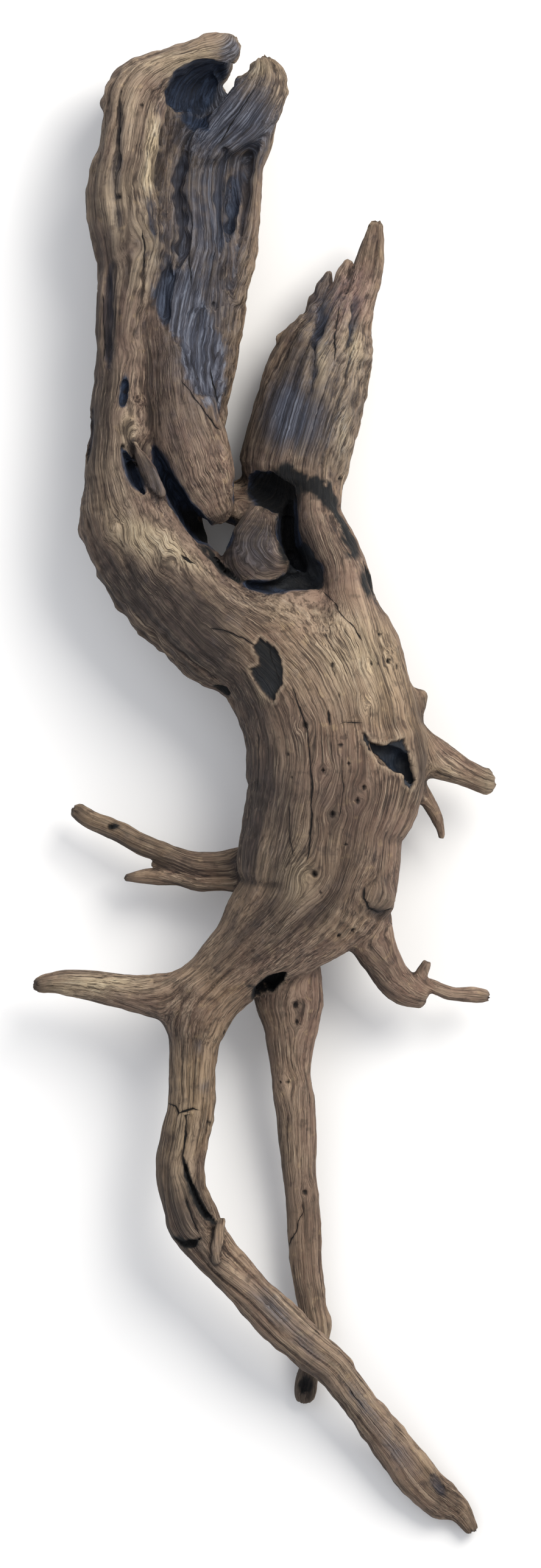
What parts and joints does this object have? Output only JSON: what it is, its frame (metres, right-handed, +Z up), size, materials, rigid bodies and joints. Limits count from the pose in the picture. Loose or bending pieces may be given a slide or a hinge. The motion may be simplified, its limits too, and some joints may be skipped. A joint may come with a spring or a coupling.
{
  "type": "piece of driftwood",
  "caption": "Long weathered driftwood trunk with a hollow forked top, short broken side branches and thin crossing legs, lying flat as a display piece.",
  "frame": {"origin": "middle of the footprint, on the surface that the piece lies on", "axes": "+Y along the length from the legs to the forked arms, +X across the piece, +Z up from the surface it lies on"},
  "size_m": [0.3798, 1.244, 0.1439],
  "materials": {
    "weathered_wood": "bare weathered grey-brown wood with raised grain, dull, with a few blue-black charred or resinous patches"
  },
  "bodies": {
    "root": {"driftwood": "weathered_wood"}
  },
  "joints": []
}
